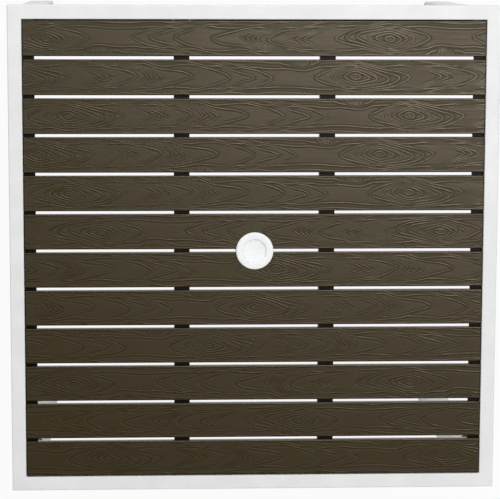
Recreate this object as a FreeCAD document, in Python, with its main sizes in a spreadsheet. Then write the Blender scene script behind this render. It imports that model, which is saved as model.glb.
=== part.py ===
import FreeCAD, Part
import math
import os
import Sketcher
from FreeCAD import Placement, Rotation, Vector

# Square patio table with a slatted top, a mitred tube frame, bolted legs,
# levelling feet and a plugged umbrella hole. Millimetres, +Z up, origin on the floor
# under the middle of the top. X runs along the slats and -Y is the front.

SIZES = {
    # Top
    "table_height": 725,
    "slat_count": 12,
    "slat_width": 68,
    "slat_thickness": 14,
    "slat_gap": 6,
    "slat_bevel": 1.5,
    "slat_drop": 1,
    "edge_gap": 2,
    # Frame
    "rail_width": 27,
    "rail_height": 40,
    "rail_wall": 1.8,
    "rail_rounding": 2.5,
    # Supports under the slats
    "batten_width": 30,
    "batten_height": 20,
    "batten_wall": 1.5,
    "batten_offset": 140,
    "bracket_thickness": 2,
    "bracket_shelf": 32,
    "ledger_width": 23,
    "ledger_thickness": 2,
    "ledger_clearance": 1,
    # Legs and their bolted corner
    "leg_size": 50,
    "leg_wall": 2,
    "leg_rounding": 4,
    "leg_inset": 6,
    "plate_thickness": 4,
    "flange_margin": 14,
    "gusset_margin": 18,
    "bolt_diameter": 6,
    "bolt_clearance": 0.3,
    "bolt_flats": 10,
    "bolt_head": 4,
    "bolt_tail": 7,
    "bolt_from_rail": 13,
    "bolt_from_leg": 22,
    # Levelling feet
    "foot_travel": 12,
    "insert_flange": 3,
    "insert_depth": 26,
    "insert_fit": 0.1,
    "thread_diameter": 8,
    "thread_length": 40,
    "thread_fit": 0.05,
    "collar_flats": 13,
    "collar_height": 5,
    "collar_lift": 0.5,
    "foot_clearance": 0.2,
    "pad_size": 46,
    "pad_corner": 4,
    "pad_rim": 4,
    "pad_bevel": 5,
    "pad_floor": 3,
    # Umbrella hole
    "pole_bore": 46,
    "seat_step": 1.7,
    "seat_depth": 16,
    "sleeve_wall": 1.8,
    "sleeve_lip": 8,
    "sleeve_flange": 2,
    "barrel_length": 34,
    "barrel_fit": 0.15,
    "slat_fit": 0.5,
    "ring_wall": 7.35,
    "ring_height": 7,
    "plug_overhang": 1.5,
    "plug_flange": 3.4,
    "plug_bevel": 1.6,
    "plug_fit": 0.3,
    "plug_wall": 1.9,
    "plug_floor": 2,
    "skirt_depth": 9.1,
    "dish_depth": 5,
    "dish_draft": 1,
}

# Sizes that follow from the driving ones
OPENING = (
    "(Sizes.slat_count * (Sizes.slat_width + Sizes.slat_gap)"
    " - Sizes.slat_gap + 2 * Sizes.edge_gap)"
)
SIDE = f"({OPENING} + 2 * Sizes.rail_width)"
SLAT_LENGTH = f"({OPENING} - 2 * Sizes.edge_gap)"
RAIL_BOTTOM = "(Sizes.table_height - Sizes.rail_height)"
SLAT_TOP = "(Sizes.table_height - Sizes.slat_drop)"
SLAT_BOTTOM = f"({SLAT_TOP} - Sizes.slat_thickness)"
BATTEN_BOTTOM = f"({SLAT_BOTTOM} - Sizes.batten_height)"
BRACKET_BOTTOM = f"({BATTEN_BOTTOM} - Sizes.bracket_thickness)"
GUSSET_TOP = f"({RAIL_BOTTOM} + Sizes.plate_thickness)"
LEDGER_BOTTOM = f"({GUSSET_TOP} + Sizes.ledger_clearance)"
LEDGER_HEIGHT = f"({SLAT_BOTTOM} - {LEDGER_BOTTOM})"
FLANGE_BOTTOM = f"({RAIL_BOTTOM} - Sizes.plate_thickness)"
PAD_TOP = "(Sizes.pad_rim + Sizes.pad_bevel)"
COLLAR_BOTTOM = f"({PAD_TOP} + Sizes.collar_lift)"
COLLAR_TOP = f"({COLLAR_BOTTOM} + Sizes.collar_height)"
INSERT_BOTTOM = f"({COLLAR_TOP} + Sizes.foot_travel)"
LEG_BOTTOM = f"({INSERT_BOTTOM} + Sizes.insert_flange)"
LEG_CENTRE = f"({SIDE} / 2 - Sizes.leg_inset - Sizes.leg_size / 2)"
BOLT_NEAR = "(Sizes.rail_width + Sizes.bolt_from_rail)"
BOLT_FAR = "(Sizes.leg_inset + Sizes.leg_size + Sizes.bolt_from_leg)"
BOLT_HOLE = "(Sizes.bolt_diameter / 2 + Sizes.bolt_clearance)"
THREAD_HOLE = "(Sizes.thread_diameter / 2 + Sizes.thread_fit)"
BORE_RADIUS = "(Sizes.pole_bore / 2)"
SEAT_RADIUS = f"({BORE_RADIUS} + Sizes.seat_step)"
BARREL_RADIUS = f"({SEAT_RADIUS} + Sizes.sleeve_wall)"
SLEEVE_RADIUS = f"({BARREL_RADIUS} + Sizes.sleeve_lip)"
PLUG_RADIUS = f"({SLEEVE_RADIUS} + Sizes.plug_overhang)"
SKIRT_RADIUS = f"({SEAT_RADIUS} - Sizes.plug_fit)"
DISH_RADIUS = f"({SKIRT_RADIUS} - Sizes.plug_wall)"
SLEEVE_TOP = f"({SLAT_TOP} + Sizes.sleeve_flange)"
SLEEVE_BOTTOM = f"({SLAT_TOP} - Sizes.barrel_length)"
SEAT_FLOOR = f"({SLEEVE_TOP} - Sizes.seat_depth)"
PLUG_TOP = f"({SLEEVE_TOP} + Sizes.plug_flange)"
DISH_FLOOR = f"({PLUG_TOP} - Sizes.dish_depth)"
DISH_SOLE = f"({DISH_FLOOR} - Sizes.plug_floor)"
SKIRT_BOTTOM = f"({SLEEVE_TOP} - Sizes.skirt_depth)"

# Sides and corners in the order of quarter turns about Z
SIDES = ("front", "right", "rear", "left")
CORNERS = ("front_left", "front_right", "rear_right", "rear_left")

doc = FreeCAD.newDocument("PatioTable")
sheet = doc.addObject("Spreadsheet::Sheet", "Sizes")
for row, (alias, number) in enumerate(SIZES.items(), start=1):
    sheet.set(f"A{row}", alias)
    sheet.set(f"B{row}", str(number))
    sheet.setAlias(f"B{row}", alias)
doc.recompute()

parts = []


def value(expression):
    """The number that an expression has with the sheet's sizes."""
    return float(sheet.evalExpression(expression))


def direction(place):
    """The sign of X and of Y on which a named side or corner lies."""
    right = ("right" in place) - ("left" in place)
    rear = ("rear" in place) - ("front" in place)
    return right, rear


def new_body(label, x="0", y="0", z="0", turn=0):
    """A sub-part, turned about Z and then moved to x, y, z."""
    body = doc.addObject("PartDesign::Body", label)
    body.Label = label
    body.Placement = Placement(Vector(), Rotation(Vector(0, 0, 1), turn))
    for axis, place in (("x", x), ("y", y), ("z", z)):
        body.setExpression(f"Placement.Base.{axis}", place)
    parts.append(body)
    return body


def origin_feature(body, role):
    """One of the body's own planes or axes."""
    return next(item for item in body.Origin.OriginFeatures if item.Role == role)


def new_sketch(body, name, plane, lift=None):
    """A sketch on one of the body's planes, lifted along that plane's normal."""
    sketch = body.newObject("Sketcher::SketchObject", name)
    sketch.AttachmentSupport = [(origin_feature(body, plane), "")]
    sketch.MapMode = "FlatFace"
    if lift is not None:
        sketch.setExpression("AttachmentOffset.Base.z", lift)
    return sketch


def bind(sketch, constraint, expression):
    """Adds a constraint whose size follows an expression."""
    index = sketch.addConstraint(constraint)
    sketch.setExpression(f"Constraints[{index}]", expression)


def pin(sketch, item, point, x, y):
    """Holds a point of a sketch's item at x, y."""
    bind(sketch, Sketcher.Constraint("DistanceX", -1, 1, item, point, value(x)), x)
    bind(sketch, Sketcher.Constraint("DistanceY", -1, 1, item, point, value(y)), y)


def outline(sketch, corners):
    """Straight lines through the corners, closed."""
    points = [Vector(value(x), value(y), 0) for x, y in corners]
    first = sketch.GeometryCount
    for start, end in zip(points, points[1:] + points[:1]):
        sketch.addGeometry(Part.LineSegment(start, end))
    for index, (x, y) in enumerate(corners):
        line = first + index
        before = first + (index - 1) % len(corners)
        sketch.addConstraint(Sketcher.Constraint("Coincident", before, 2, line, 1))
        pin(sketch, line, 1, x, y)


def circle(sketch, x, y, radius):
    """A circle about x, y."""
    centre = Vector(value(x), value(y), 0)
    item = sketch.addGeometry(Part.Circle(centre, Vector(0, 0, 1), value(radius)))
    pin(sketch, item, 3, x, y)
    bind(sketch, Sketcher.Constraint("Radius", item, value(radius)), radius)


def rounded_rectangle(sketch, x, y, width, height, radius):
    """A rectangle about x, y with four round corners."""
    up = Vector(0, 0, 1)
    size = value(radius)
    arcs = []
    centres = []
    for quarter, (right, top) in enumerate(((1, 1), (-1, 1), (-1, -1), (1, -1))):
        centre_x = f"({x} + {right} * ({width} / 2 - {radius}))"
        centre_y = f"({y} + {top} * ({height} / 2 - {radius}))"
        centre = Vector(value(centre_x), value(centre_y), 0)
        start = quarter * math.pi / 2
        arc = Part.ArcOfCircle(Part.Circle(centre, up, size), start, start + math.pi / 2)
        arcs.append(sketch.addGeometry(arc))
        centres.append((centre_x, centre_y))
    lines = []
    for first, second in zip(arcs, arcs[1:] + arcs[:1]):
        start = sketch.getPoint(first, 2)
        end = sketch.getPoint(second, 1)
        lines.append(sketch.addGeometry(Part.LineSegment(start, end)))
    for index, arc in enumerate(arcs):
        pin(sketch, arc, 3, *centres[index])
        bind(sketch, Sketcher.Constraint("Radius", arc, size), radius)
        sketch.addConstraint(Sketcher.Constraint("Tangent", arc, 2, lines[index], 1))
        following = arcs[(index + 1) % len(arcs)]
        sketch.addConstraint(Sketcher.Constraint("Tangent", lines[index], 2, following, 1))


def rectangle(sketch, x, y, width, height):
    """A rectangle about x, y."""
    outline(sketch, [
        (f"({x} + {right} * {width} / 2)", f"({y} + {top} * {height} / 2)")
        for right, top in ((1, 1), (-1, 1), (-1, -1), (1, -1))
    ])


def clipped_square(sketch, size, clip):
    """A square about the middle, with its corners cut off."""
    long = f"({size} / 2)"
    short = f"({size} / 2 - {clip})"
    outline(sketch, (
        (long, short), (short, long), (f"-{short}", long), (f"-{long}", short),
        (f"-{long}", f"-{short}"), (f"-{short}", f"-{long}"), (short, f"-{long}"), (long, f"-{short}"),
    ))


def tube_section(sketch, x, y, width, height, wall, radius):
    """The section of a rectangular tube: its round-cornered outside and its hollow."""
    rounded_rectangle(sketch, x, y, width, height, radius)
    rectangle(sketch, x, y, f"({width} - 2 * {wall})", f"({height} - 2 * {wall})")


def polygon(sketch, sides, x, y, flats):
    """A regular polygon about x, y, measured across its flats."""
    corners = []
    for step in range(sides):
        angle = 2 * math.pi * step / sides
        reach = 0.5 / math.cos(math.pi / sides)
        across = f"({x} + {flats} * {reach * math.cos(angle):.9f})"
        along = f"({y} + {flats} * {reach * math.sin(angle):.9f})"
        corners.append((across, along))
    outline(sketch, corners)


def pad(body, sketch, length, both_ways=False):
    """Extrudes a sketch along its normal, or evenly to both sides."""
    feature = body.newObject("PartDesign::Pad", "Pad")
    feature.Profile = sketch
    feature.setExpression("Length", length)
    if both_ways:
        feature.SideType = "Symmetric"
    doc.recompute()
    return feature


def pocket(body, sketch):
    """Cuts a sketch upwards, through all that lies above it."""
    before = body.Shape.Volume
    feature = body.newObject("PartDesign::Pocket", "Pocket")
    feature.Profile = sketch
    feature.Reversed = True
    feature.Type = "ThroughAll"
    doc.recompute()
    if body.Shape.Volume >= before:
        raise RuntimeError(f"{body.Label}: {sketch.Name} cuts nothing")


def revolve(body, sketch):
    """Turns a half section right round Z."""
    feature = body.newObject("PartDesign::Revolution", "Revolution")
    feature.Profile = sketch
    feature.ReferenceAxis = (origin_feature(body, "Z_Axis"), [""])
    feature.Angle = 360
    doc.recompute()


def bevel_top(body, feature, size, chosen):
    """Bevels the upper edges of the feature that a test picks."""
    top = feature.Shape.BoundBox.ZMax
    names = [
        f"Edge{number}"
        for number, edge in enumerate(feature.Shape.Edges, start=1)
        if math.isclose(edge.BoundBox.ZMin, top, abs_tol=1e-4) and chosen(edge)
    ]
    bevel = body.newObject("PartDesign::Chamfer", "Bevel")
    bevel.Base = (feature, names)
    bevel.setExpression("Size", size)
    doc.recompute()


def mirror_to_corners(body):
    """Copies the body's solids to all four corners of the table."""
    for plane in ("YZ_Plane", "XZ_Plane"):
        mirror = body.newObject("PartDesign::Mirrored", "Mirrored")
        mirror.TransformMode = "Whole shape"
        mirror.MirrorPlane = (origin_feature(body, plane), [""])
        body.Tip = mirror
        doc.recompute()


def make_rails():
    """Four tubes that meet in mitres at the corners."""
    for quarter, side in enumerate(SIDES):
        right, rear = direction(side)
        shift = f"({SIDE} / 2 - Sizes.rail_width / 2)"
        rail = new_body(
            f"{side}_rail", f"{right} * {shift}", f"{rear} * {shift}", RAIL_BOTTOM, 90 * quarter
        )
        section = new_sketch(rail, "RailSection", "YZ_Plane")
        tube_section(
            section, "0", "(Sizes.rail_height / 2)",
            "Sizes.rail_width", "Sizes.rail_height", "Sizes.rail_wall", "Sizes.rail_rounding",
        )
        pad(rail, section, SIDE, both_ways=True)
        mitres = new_sketch(rail, "Mitres", "XY_Plane")
        for end in (-1, 1):
            outline(mitres, (
                (f"{end} * ({SIDE} / 2 + Sizes.rail_width)", "-1.5 * Sizes.rail_width"),
                (f"{end} * ({SIDE} / 2 + Sizes.rail_width)", "1.5 * Sizes.rail_width"),
                (f"{end} * ({SIDE} / 2 - 2 * Sizes.rail_width)", "1.5 * Sizes.rail_width"),
            ))
        pocket(rail, mitres)


def runs_lengthwise(edge):
    """True for an edge along X."""
    return edge.BoundBox.XLength > edge.BoundBox.YLength


def make_slats():
    """The slats, front to rear. Those beside the umbrella hole are notched round it."""
    for number in range(round(value("Sizes.slat_count"))):
        place = (
            f"(Sizes.edge_gap - {OPENING} / 2 + Sizes.slat_width / 2"
            f" + {number} * (Sizes.slat_width + Sizes.slat_gap))"
        )
        slat = new_body(f"slat_{number + 1:02d}", y=place, z=SLAT_BOTTOM)
        section = new_sketch(slat, "SlatSection", "YZ_Plane")
        rectangle(
            section, "0", "(Sizes.slat_thickness / 2)", "Sizes.slat_width", "Sizes.slat_thickness"
        )
        board = pad(slat, section, SLAT_LENGTH, both_ways=True)
        bevel_top(slat, board, "Sizes.slat_bevel", runs_lengthwise)
        hole_radius = f"({BARREL_RADIUS} + Sizes.slat_fit)"
        if abs(value(place)) < value(f"Sizes.slat_width / 2 + {hole_radius}"):
            notch = new_sketch(slat, "UmbrellaNotch", "XY_Plane")
            circle(notch, "0", f"-{place}", hole_radius)
            pocket(slat, notch)


def make_battens():
    """Two tubes under the slats, front to back, each end in an L-shaped bracket."""
    for side in ("left", "right"):
        right, _ = direction(side)
        batten = new_body(f"{side}_batten", f"{right} * Sizes.batten_offset", z=BATTEN_BOTTOM)
        section = new_sketch(batten, "BattenSection", "XZ_Plane")
        middle = "(Sizes.batten_height / 2)"
        rectangle(section, "0", middle, "Sizes.batten_width", "Sizes.batten_height")
        rectangle(
            section, "0", middle, "(Sizes.batten_width - 2 * Sizes.batten_wall)",
            "(Sizes.batten_height - 2 * Sizes.batten_wall)",
        )
        pad(batten, section, f"({OPENING} - 2 * Sizes.bracket_thickness)", both_ways=True)

    brackets = new_body("batten_brackets", z=BRACKET_BOTTOM)
    bracket_top = f"({SLAT_BOTTOM} - {BRACKET_BOTTOM})"
    section = new_sketch(brackets, "BracketSection", "YZ_Plane", "Sizes.batten_offset")
    outline(section, (
        (f"({OPENING} / 2)", "0"),
        (f"({OPENING} / 2)", bracket_top),
        (f"({OPENING} / 2 - Sizes.bracket_thickness)", bracket_top),
        (f"({OPENING} / 2 - Sizes.bracket_thickness)", "Sizes.bracket_thickness"),
        (f"({OPENING} / 2 - Sizes.bracket_shelf)", "Sizes.bracket_thickness"),
        (f"({OPENING} / 2 - Sizes.bracket_shelf)", "0"),
    ))
    pad(brackets, section, "Sizes.batten_width", both_ways=True)
    mirror_to_corners(brackets)


def make_ledgers():
    """Two angles along the side rails that carry the ends of the slats."""
    for half_turn, side in enumerate(("left", "right")):
        right, _ = direction(side)
        ledger = new_body(
            f"{side}_ledger", f"{right} * {OPENING} / 2", z=LEDGER_BOTTOM, turn=180 * half_turn
        )
        section = new_sketch(ledger, "LedgerSection", "XZ_Plane")
        shelf = f"({LEDGER_HEIGHT} - Sizes.ledger_thickness)"
        outline(section, (
            ("0", "0"),
            ("Sizes.ledger_thickness", "0"),
            ("Sizes.ledger_thickness", shelf),
            ("Sizes.ledger_width", shelf),
            ("Sizes.ledger_width", LEDGER_HEIGHT),
            ("0", LEDGER_HEIGHT),
        ))
        pad(ledger, section, SLAT_LENGTH, both_ways=True)


def corner_plate(body, name, start, margin):
    """A plate from start inwards, past the two bolts by a margin, with its inner corner cut off."""
    near = f"({BOLT_NEAR} - {start})"
    far = f"({BOLT_FAR} - {start})"
    reach = f"({far} + {margin})"
    edge = f"({near} + Sizes.flange_margin)"
    plan = new_sketch(body, name, "XY_Plane")
    outline(plan, (("0", "0"), (reach, "0"), (reach, edge), (edge, reach), ("0", reach)))
    circle(plan, far, near, BOLT_HOLE)
    circle(plan, near, far, BOLT_HOLE)
    pad(body, plan, "Sizes.plate_thickness")


def make_corners():
    """At each corner a gusset inside the frame, and a leg on its bolted flange."""
    for quarter, corner in enumerate(CORNERS):
        right, rear = direction(corner)
        turn = 90 * quarter
        inner = f"({OPENING} / 2)"
        gusset = new_body(
            f"{corner}_gusset", f"{right} * {inner}", f"{rear} * {inner}", RAIL_BOTTOM, turn
        )
        corner_plate(gusset, "GussetPlan", "Sizes.rail_width", "Sizes.gusset_margin")
        outer = f"({SIDE} / 2 - Sizes.leg_inset)"
        flange = new_body(
            f"{corner}_leg_flange", f"{right} * {outer}", f"{rear} * {outer}", FLANGE_BOTTOM, turn
        )
        corner_plate(flange, "FlangePlan", "Sizes.leg_inset", "Sizes.flange_margin")
        leg = new_body(
            f"{corner}_leg", f"{right} * {LEG_CENTRE}", f"{rear} * {LEG_CENTRE}", LEG_BOTTOM
        )
        section = new_sketch(leg, "LegSection", "XY_Plane")
        tube_section(
            section, "0", "0", "Sizes.leg_size", "Sizes.leg_size",
            "Sizes.leg_wall", "Sizes.leg_rounding",
        )
        pad(leg, section, f"({FLANGE_BOTTOM} - {LEG_BOTTOM})")


def make_leg_bolts():
    """Two hexagon bolts at each leg, up through its flange and the gusset."""
    near = f"({SIDE} / 2 - {BOLT_NEAR})"
    far = f"({SIDE} / 2 - {BOLT_FAR})"
    bolts = new_body("leg_bolts", z=FLANGE_BOTTOM)
    heads = new_sketch(bolts, "BoltHeads", "XY_Plane", "-Sizes.bolt_head")
    shanks = new_sketch(bolts, "BoltShanks", "XY_Plane")
    for x, y in ((near, far), (far, near)):
        polygon(heads, 6, x, y, "Sizes.bolt_flats")
        circle(shanks, x, y, "(Sizes.bolt_diameter / 2)")
    pad(bolts, heads, "Sizes.bolt_head")
    pad(bolts, shanks, "(2 * Sizes.plate_thickness + Sizes.bolt_tail)")
    mirror_to_corners(bolts)


def make_foot(corner):
    """A levelling foot: an insert in the leg's end, a threaded stem and a swivelling pad."""
    right, rear = direction(corner)
    x = f"{right} * {LEG_CENTRE}"
    y = f"{rear} * {LEG_CENTRE}"
    insert = new_body(f"{corner}_foot_insert", x, y, INSERT_BOTTOM)
    flange = new_sketch(insert, "InsertFlange", "XY_Plane")
    clip = f"(Sizes.leg_rounding * {2 - math.sqrt(2):.9f})"
    clipped_square(flange, "Sizes.leg_size", clip)
    pad(insert, flange, "Sizes.insert_flange")
    core = new_sketch(insert, "InsertCore", "XY_Plane", "Sizes.insert_flange")
    width = "(Sizes.leg_size - 2 * (Sizes.leg_wall + Sizes.insert_fit))"
    rectangle(core, "0", "0", width, width)
    pad(insert, core, "Sizes.insert_depth")
    bore = new_sketch(insert, "InsertBore", "XY_Plane")
    circle(bore, "0", "0", THREAD_HOLE)
    pocket(insert, bore)

    stem = new_body(f"{corner}_foot_stem", x, y)
    rod_bottom = "(Sizes.pad_floor + Sizes.foot_clearance)"
    rod = new_sketch(stem, "Rod", "XY_Plane", rod_bottom)
    circle(rod, "0", "0", "(Sizes.thread_diameter / 2)")
    pad(stem, rod, f"({COLLAR_TOP} + Sizes.thread_length - {rod_bottom})")
    collar = new_sketch(stem, "Collar", "XY_Plane", COLLAR_BOTTOM)
    polygon(collar, 6, "0", "0", "Sizes.collar_flats")
    pad(stem, collar, "Sizes.collar_height")

    foot_pad = new_body(f"{corner}_foot_pad", x, y)
    plan = new_sketch(foot_pad, "PadPlan", "XY_Plane")
    clipped_square(plan, "Sizes.pad_size", "Sizes.pad_corner")
    block = pad(foot_pad, plan, PAD_TOP)
    bevel_top(foot_pad, block, "Sizes.pad_bevel", lambda edge: True)
    socket = new_sketch(foot_pad, "StemSocket", "XY_Plane", "Sizes.pad_floor")
    circle(socket, "0", "0", "(Sizes.thread_diameter / 2 + Sizes.foot_clearance)")
    pocket(foot_pad, socket)


def make_umbrella_hole():
    """A flanged sleeve through the slats, the ring nut under them and a dished plug with a skirt."""
    sleeve = new_body("umbrella_sleeve")
    section = new_sketch(sleeve, "SleeveSection", "XZ_Plane")
    outline(section, (
        (BORE_RADIUS, SLEEVE_BOTTOM),
        (BARREL_RADIUS, SLEEVE_BOTTOM),
        (BARREL_RADIUS, SLAT_TOP),
        (SLEEVE_RADIUS, SLAT_TOP),
        (SLEEVE_RADIUS, SLEEVE_TOP),
        (SEAT_RADIUS, SLEEVE_TOP),
        (SEAT_RADIUS, SEAT_FLOOR),
        (BORE_RADIUS, SEAT_FLOOR),
    ))
    revolve(sleeve, section)

    ring = new_body("sleeve_nut", z=f"({SLAT_BOTTOM} - Sizes.ring_height)")
    plan = new_sketch(ring, "RingPlan", "XY_Plane")
    ring_bore = f"({BARREL_RADIUS} + Sizes.barrel_fit)"
    polygon(plan, 8, "0", "0", f"(2 * ({ring_bore} + Sizes.ring_wall))")
    circle(plan, "0", "0", ring_bore)
    pad(ring, plan, "Sizes.ring_height")

    plug = new_body("umbrella_plug")
    section = new_sketch(plug, "PlugSection", "XZ_Plane")
    outline(section, (
        ("0", DISH_SOLE),
        (f"({DISH_RADIUS} - Sizes.dish_draft)", DISH_SOLE),
        (DISH_RADIUS, SKIRT_BOTTOM),
        (SKIRT_RADIUS, SKIRT_BOTTOM),
        (SKIRT_RADIUS, SLEEVE_TOP),
        (PLUG_RADIUS, SLEEVE_TOP),
        (PLUG_RADIUS, f"({PLUG_TOP} - Sizes.plug_bevel)"),
        (f"({PLUG_RADIUS} - Sizes.plug_bevel)", PLUG_TOP),
        (DISH_RADIUS, PLUG_TOP),
        (f"({DISH_RADIUS} - Sizes.dish_draft)", DISH_FLOOR),
        ("0", DISH_FLOOR),
    ))
    revolve(plug, section)


make_rails()
make_slats()
make_battens()
make_ledgers()
make_corners()
make_leg_bolts()
for corner_name in CORNERS:
    make_foot(corner_name)
make_umbrella_hole()
doc.recompute()

for item in doc.Objects:
    if "Invalid" in item.State or "Error" in item.State:
        raise RuntimeError(f"{item.Label} failed: {item.State}")
for part in parts:
    if part.Shape.isNull() or not part.Shape.isValid():
        raise RuntimeError(f"{part.Label} has no valid shape")

os.makedirs("parts", exist_ok=True)
for part in parts:
    part.Shape.exportStep(f"parts/{part.Label}.step")
print(len(parts), "sub-parts")
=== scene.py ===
"""Looks of a square patio table: embossed slats in a white tube frame, dressed on its CAD frame."""

import math

import bmesh
import bpy
from bpy.props import FloatProperty, FloatVectorProperty, IntProperty, PointerProperty
from mathutils import Matrix, Vector


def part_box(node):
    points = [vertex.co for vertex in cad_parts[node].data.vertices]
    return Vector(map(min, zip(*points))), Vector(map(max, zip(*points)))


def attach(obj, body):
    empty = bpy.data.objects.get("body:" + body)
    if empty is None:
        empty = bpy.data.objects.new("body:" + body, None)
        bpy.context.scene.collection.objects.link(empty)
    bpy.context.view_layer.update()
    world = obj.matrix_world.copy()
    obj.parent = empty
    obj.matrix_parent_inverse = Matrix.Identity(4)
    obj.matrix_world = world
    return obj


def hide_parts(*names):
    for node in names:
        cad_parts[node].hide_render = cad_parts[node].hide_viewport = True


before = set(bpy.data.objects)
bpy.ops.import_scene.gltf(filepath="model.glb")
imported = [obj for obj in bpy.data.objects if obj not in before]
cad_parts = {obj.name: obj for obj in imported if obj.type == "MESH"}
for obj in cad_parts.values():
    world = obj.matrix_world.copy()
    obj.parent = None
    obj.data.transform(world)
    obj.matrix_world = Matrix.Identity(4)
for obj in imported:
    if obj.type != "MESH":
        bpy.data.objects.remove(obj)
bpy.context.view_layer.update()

bl_info = {
    "name": "Square Patio Table",
    "version": (1, 0, 0),
    "blender": (4, 5, 0),
    "location": "3D View > Sidebar > Patio Table",
    "description": "Slats, coats, fasteners, feet and umbrella fitting of a square patio table",
    "category": "Object",
}

MM = 0.001
# What all colour properties share
COLOUR = {"size": 4, "subtype": "COLOR", "min": 0, "max": 1}
# Edges that bend more than this stay sharp
CREASE = math.radians(35)
SLAT_CREASE = math.radians(50)
# The kinds of node that are used most
MATH = "ShaderNodeMath"
VECTOR = "ShaderNodeVectorMath"
RANGE = "ShaderNodeMapRange"
NOISE = "ShaderNodeTexNoise"
COMBINE = "ShaderNodeCombineXYZ"

SLATS = sorted(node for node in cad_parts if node.startswith("slat_"))
CORNERS = ("front_left", "front_right", "rear_right", "rear_left")

# Where the roller's eye falls on each slat, front to rear, in millimetres from the middle, and
# -1 for the slats that lie the other way round
EYES = (
    (369, 1), (86, -1), (304, -1), (-87, 1), (2, 1), (42, 1),
    (359, -1), (297, 1), (240, 1), (297, 1), (192, 1), (257, -1),
)
# Groups of rings on either side of the eye: start and end in millimetres from it, and number
RINGS_RIGHT = (
    (0, 40, 2.95), (48, 110, 2.841), (156, 190, 3.0), (218, 240, 1.0), (252, 296, 4.0),
    (316, 345, 1.0), (395, 420, 1.0), (440, 460, 1.0), (480, 500, 1.0),
)
RINGS_LEFT = ((2, 36, 3.0), (40, 48, 1.0), (62, 82, 1.0))

# In metres and radians
CAMERA_PLACE = (-0.20101, 0.55535, 4.725)
CAMERA_TURN = (-0.13736, -0.04753, 0.00312)


def linear(code):
    """An sRGB hex colour as linear red, green, blue and a full alpha."""
    shares = [int(code[start:start + 2], 16) / 255 for start in (1, 3, 5)]
    straight = [
        share / 12.92 if share <= 0.04045 else ((share + 0.055) / 1.055) ** 2.4 for share in shares
    ]
    return (*straight, 1.0)


def add(tree, kind, *values, inputs=None, **settings):
    """Adds a node with its settings. Its inputs, by order or name, get a value, node or socket."""
    node = tree.nodes.new(kind)
    for setting, choice in settings.items():
        setattr(node, setting, choice)
    sockets = [socket for socket in node.inputs if socket.enabled]
    given = list(zip(sockets, values))
    for name, value in (inputs or {}).items():
        given.append((next(socket for socket in sockets if socket.name == name), value))
    for socket, value in given:
        for source in value if isinstance(value, list) else [value]:
            if isinstance(source, bpy.types.Node):
                source = next(output for output in source.outputs if output.enabled)
            if isinstance(source, bpy.types.NodeSocket):
                tree.links.new(source, socket)
            elif source is not None:
                socket.default_value = source
    return node


def new_material(name, constants):
    """A material, its node tree and its shader, with the shader's constant inputs set."""
    material = bpy.data.materials.new(name)
    material.use_nodes = True
    tree = material.node_tree
    shader = tree.nodes["Principled BSDF"]
    for socket, value in constants.items():
        shader.inputs[socket].default_value = value
    return material, tree, shader


def new_tree(name, inputs, output="Geometry"):
    """A geometry node tree with named inputs and one output."""
    tree = bpy.data.node_groups.new(name, "GeometryNodeTree")
    for label, kind in inputs.items():
        tree.interface.new_socket(label, in_out="INPUT", socket_type=f"NodeSocket{kind}")
    tree.interface.new_socket(output, in_out="OUTPUT", socket_type=f"NodeSocket{output}")
    return tree, tree.nodes.new("NodeGroupInput").outputs


def end_tree(tree, shape, finish):
    """Ends a geometry node tree with real faces in one material."""
    real = add(tree, "GeometryNodeRealizeInstances", shape)
    done = add(tree, "GeometryNodeSetMaterial", real, inputs={"Material": finish})
    add(tree, "NodeGroupOutput", done)


def grown(tree, values, mesh=None):
    """The plain mesh that a node tree makes of a mesh and its named inputs."""
    source = bpy.data.objects.new(tree.name, mesh or bpy.data.meshes.new(tree.name))
    bpy.context.scene.collection.objects.link(source)
    modifier = source.modifiers.new(tree.name, "NODES")
    modifier.node_group = tree
    for item in tree.interface.items_tree:
        if item.in_out == "INPUT" and item.name in values:
            modifier[item.identifier] = values[item.name]
    depsgraph = bpy.context.evaluated_depsgraph_get()
    result = bpy.data.meshes.new_from_object(source.evaluated_get(depsgraph))
    bpy.data.objects.remove(source)
    if not result.polygons:
        raise RuntimeError(f"{tree.name} made no faces")
    return result


def full_turn(count):
    """Evenly spaced angles, one turn in all."""
    return [math.tau * step / count for step in range(count)]


def turned(name, rows, angles, closed=False):
    """Rings about Z: heights with a radius, or with one for each angle. A radius of 0 is a pole."""
    shape = bmesh.new()
    rings = []
    for height, radius in rows:
        if radius == 0:
            rings.append([shape.verts.new((0, 0, height))] * len(angles))
            continue
        reach = [radius(angle) if callable(radius) else radius for angle in angles]
        rings.append([
            shape.verts.new((size * math.cos(angle), size * math.sin(angle), height))
            for angle, size in zip(angles, reach)
        ])
    for lower, upper in zip(rings, rings[1:] + rings[:1] if closed else rings[1:]):
        for here, there in zip(range(-1, len(angles) - 1), range(len(angles))):
            corners = list(dict.fromkeys((lower[here], lower[there], upper[there], upper[here])))
            if len(corners) > 2:
                shape.faces.new(corners)
    return finished(name, shape)


def finished(name, shape):
    """Turns a bmesh into a mesh with faces outwards and crisp edges."""
    bmesh.ops.recalc_face_normals(shape, faces=shape.faces)
    mesh = bpy.data.meshes.new(name)
    shape.to_mesh(mesh)
    shape.free()
    mesh.shade_smooth()
    mesh.set_sharp_from_angle(angle=CREASE)
    return mesh


def joined(name, *meshes):
    """Several meshes as one."""
    shape = bmesh.new()
    for mesh in meshes:
        shape.from_mesh(mesh)
    return finished(name, shape)


def piece(name, mesh, material, body, replaces=()):
    """Puts a finished mesh in the scene, riding on its body."""
    item = bpy.data.objects.new(name, mesh)
    bpy.context.scene.collection.objects.link(item)
    mesh.materials.clear()
    mesh.materials.append(material)
    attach(item, body)
    if replaces:
        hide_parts(*replaces)
    return item


def coat(material, *endings):
    """Gives a material to the CAD nodes whose names end so."""
    for name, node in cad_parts.items():
        if name.endswith(endings):
            node.data.materials.clear()
            node.data.materials.append(material)


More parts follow.
